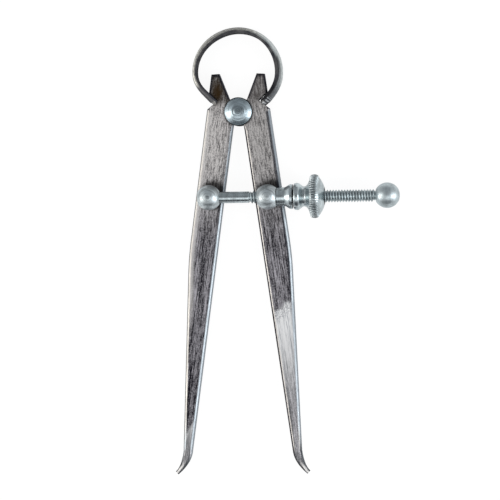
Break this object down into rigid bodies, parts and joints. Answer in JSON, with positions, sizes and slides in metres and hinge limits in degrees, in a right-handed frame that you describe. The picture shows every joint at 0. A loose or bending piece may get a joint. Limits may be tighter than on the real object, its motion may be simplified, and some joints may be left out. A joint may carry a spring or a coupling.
{
  "type": "inside spring caliper",
  "caption": "Inside spring caliper with flat tapering legs, out-turned toes, a bow spring, and a cross screw with a knurled nut that sets how far the toes stand apart.",
  "frame": {"origin": "middle of the fulcrum spool's flat back, on the legs' pivot axis", "axes": "+Z out of the front face, away from the bench it lies on; +Y towards the bow spring; +X along the adjusting screw, towards the nut"},
  "size_m": [0.064, 0.125, 0.0133],
  "materials": {
    "leg_steel": "worn, brushed lengthways, faint brown tarnish",
    "spring_steel": "ground and tempered, darker inside",
    "plated_steel": "bright zinc plate, turned",
    "screw_steel": "bright zinc plate, cut thread",
    "washer_steel": "plain steel"
  },
  "bodies": {
    "fulcrum": {"fulcrum_spool": "plated_steel", "bow_spring": "spring_steel"},
    "left_arm": {"left_leg": "leg_steel"},
    "right_arm": {"right_leg": "leg_steel"},
    "screw_carrier": {"left_stud": "plated_steel", "left_stud_washer": "washer_steel", "adjusting_screw": "screw_steel", "screw_lock_pin": "washer_steel", "end_ball": "plated_steel"},
    "nut_carrier": {"right_stud": "plated_steel", "right_stud_washer": "washer_steel", "thrust_collar": "plated_steel"},
    "nut": {"knurled_nut": "plated_steel"}
  },
  "joints": [
    {"name": "left_leg_swing", "type": "hinge", "parent": "fulcrum", "child": "left_arm", "pos_m": [0, 0, 0], "axis": [0, 0, -1], "range_deg": [-7.5, 17.5], "deforming": ["bow_spring"]},
    {"name": "right_leg_swing", "type": "hinge", "parent": "fulcrum", "child": "right_arm", "pos_m": [0, 0, 0], "axis": [0, 0, 1], "range_deg": [-7.5, 17.5], "deforming": ["bow_spring"]},
    {"name": "left_stud_turn", "type": "hinge", "parent": "left_arm", "child": "screw_carrier", "pos_m": [-0.00825, -0.02402, 0], "axis": [0, 0, 1], "range_deg": [-7.5, 17.5]},
    {"name": "right_stud_turn", "type": "hinge", "parent": "right_arm", "child": "nut_carrier", "pos_m": [0.00825, -0.02402, 0], "axis": [0, 0, -1], "range_deg": [-7.5, 17.5]},
    {"name": "nut_spin", "type": "hinge", "parent": "nut_carrier", "child": "nut", "pos_m": [0.00825, -0.02402, 0.0072], "axis": [1, 0, 0], "range_deg": [-2850, 6650]}
  ],
  "couplings": [
    {"joint": "left_leg_swing", "follows": "nut_spin", "ratio": 0.0026302},
    {"joint": "right_leg_swing", "follows": "nut_spin", "ratio": 0.0026302},
    {"joint": "left_stud_turn", "follows": "nut_spin", "ratio": 0.0026302},
    {"joint": "right_stud_turn", "follows": "nut_spin", "ratio": 0.0026302}
  ]
}
